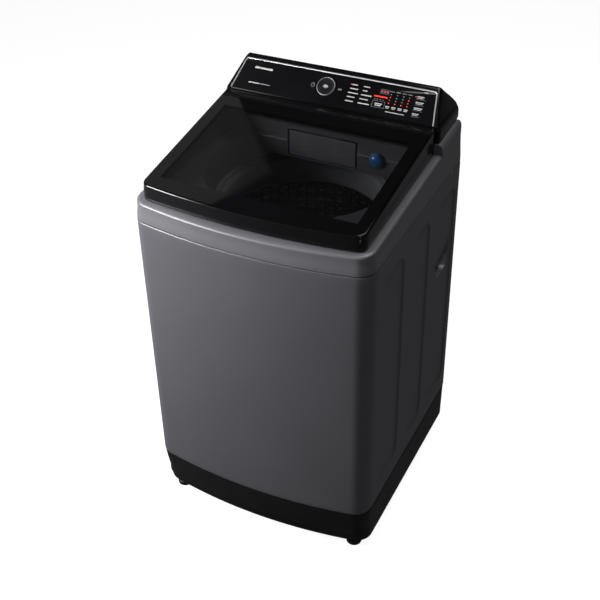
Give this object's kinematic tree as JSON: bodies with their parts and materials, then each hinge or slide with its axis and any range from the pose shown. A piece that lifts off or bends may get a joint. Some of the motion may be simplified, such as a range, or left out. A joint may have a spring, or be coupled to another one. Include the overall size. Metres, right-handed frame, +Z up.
{
  "type": "top load washing machine",
  "caption": "Top load washing machine with a hinged smoked glass lid, a sloping control console, a sprung tub with a spinning drum and pulsator, and levelling feet.",
  "frame": {"origin": "on the floor, under the middle of the machine's box", "axes": "+Z up, +X to the machine's right seen from the front, -Y out of its front"},
  "size_m": [0.54, 0.568, 0.969],
  "materials": {
    "body_paint": "satin dark grey paint",
    "cover_plastic": "satin dark grey moulded plastic",
    "base_plastic": "matte black moulded plastic",
    "gloss_black": "high gloss black",
    "lid_frame_black": "high gloss black",
    "smoked_glass": "smoked tempered glass with a black printed border",
    "chrome": "bright polished",
    "dial_black": "satin black",
    "grey_plastic": "fine grained grey plastic",
    "tub_plastic": "natural filled polypropylene",
    "white_plastic": "moulded off-white plastic",
    "blue_plastic": "translucent blue",
    "drum_steel": "embossed stainless sheet",
    "zinc": "zinc plated",
    "aluminium": "die cast",
    "copper": "enamelled copper windings on a steel core",
    "iron": "dark coated pressed steel",
    "rubber": "black rubber",
    "circuit": "potted circuit board in its tray"
  },
  "bodies": {
    "cabinet": {"base_frame": "base_plastic", "cabinet_shell": "body_paint", "rear_panel": "zinc", "rear_access_cover": "zinc", "top_cover": "cover_plastic", "bleach_cup": "grey_plastic", "bubble_nozzle": "blue_plastic", "console_shell": "gloss_black", "console_panel": "gloss_black", "chrome_trim": "chrome", "display_board": "circuit", "inlet_valve_cold": "white_plastic", "inlet_valve_hot": "white_plastic", "cord_gland": "rubber", "main_board_tray": "circuit", "drawer_housing": "grey_plastic", "lock_housing": "base_plastic", "drain_pump": "base_plastic", "drain_hose": "rubber", "drain_outlet": "base_plastic", "hinge_bracket_left": "zinc", "hinge_bracket_right": "zinc", "suspension_rod_front_left": "zinc", "suspension_rod_front_right": "zinc", "suspension_rod_rear_left": "zinc", "suspension_rod_rear_right": "zinc"},
    "lid": {"lid_frame": "lid_frame_black", "lid_glass": "smoked_glass", "lid_striker": "zinc", "hinge_pin_left": "zinc", "hinge_pin_right": "zinc", "lid_bumper_left": "rubber", "lid_bumper_right": "rubber"},
    "drawer": {"drawer_tray": "grey_plastic", "drawer_front": "cover_plastic", "softener_cap": "blue_plastic"},
    "dial": {"dial_knob": "dial_black", "dial_ring": "chrome"},
    "lock_bolt": {"lock_bolt": "zinc"},
    "tub": {"outer_tub": "tub_plastic", "tub_ring": "grey_plastic", "bearing_housing": "aluminium", "stator": "copper", "drain_bellows": "rubber", "rod_spring_front_left": "zinc", "rod_spring_front_right": "zinc", "rod_spring_rear_left": "zinc", "rod_spring_rear_right": "zinc"},
    "drum": {"drum_basket": "drum_steel", "balance_ring": "grey_plastic", "drum_hub": "aluminium", "lint_filter_left": "white_plastic", "lint_filter_right": "white_plastic"},
    "pulsator": {"pulsator": "grey_plastic", "drive_shaft": "zinc", "rotor": "iron"},
    "foot_front_left": {"foot_front_left": "base_plastic"},
    "foot_front_right": {"foot_front_right": "base_plastic"},
    "foot_rear_left": {"foot_rear_left": "base_plastic"},
    "foot_rear_right": {"foot_rear_right": "base_plastic"}
  },
  "joints": [
    {"name": "lid_hinge", "type": "hinge", "parent": "cabinet", "child": "lid", "pos_m": [0, 0.128, 0.903], "axis": [-1, 0, 0], "range_deg": [0, 100]},
    {"name": "drawer_slide", "type": "slide", "parent": "cabinet", "child": "drawer", "axis": [0, -1, 0], "range_m": [0, 0.095]},
    {"name": "lock_slide", "type": "slide", "parent": "cabinet", "child": "lock_bolt", "axis": [1, 0, 0], "range_m": [0, 0.007]},
    {"name": "dial_spin", "type": "hinge", "parent": "cabinet", "child": "dial", "pos_m": [-0.0195, 0.1687, 0.93915], "axis": [0, -0.6547, 0.7559], "continuous": true},
    {"name": "tub_bounce", "type": "slide", "parent": "cabinet", "child": "tub", "axis": [0, 0, 1], "range_m": [-0.015, 0.004], "stiffness_N_per_m": 14000, "springref_m": 0.0113, "deforming": ["rod_spring_front_left", "rod_spring_front_right", "rod_spring_rear_left", "rod_spring_rear_right", "drain_bellows"]},
    {"name": "drum_spin", "type": "hinge", "parent": "tub", "child": "drum", "pos_m": [0, 0.008, 0.25], "axis": [0, 0, 1], "continuous": true},
    {"name": "pulsator_spin", "type": "hinge", "parent": "tub", "child": "pulsator", "pos_m": [0, 0.008, 0.25], "axis": [0, 0, 1], "continuous": true},
    {"name": "foot_front_left_screw", "type": "slide", "parent": "cabinet", "child": "foot_front_left", "axis": [0, 0, 1], "range_m": [-0.01, 0.006]},
    {"name": "foot_front_right_screw", "type": "slide", "parent": "cabinet", "child": "foot_front_right", "axis": [0, 0, 1], "range_m": [-0.01, 0.006]},
    {"name": "foot_rear_left_screw", "type": "slide", "parent": "cabinet", "child": "foot_rear_left", "axis": [0, 0, 1], "range_m": [-0.01, 0.006]},
    {"name": "foot_rear_right_screw", "type": "slide", "parent": "cabinet", "child": "foot_rear_right", "axis": [0, 0, 1], "range_m": [-0.01, 0.006]}
  ]
}
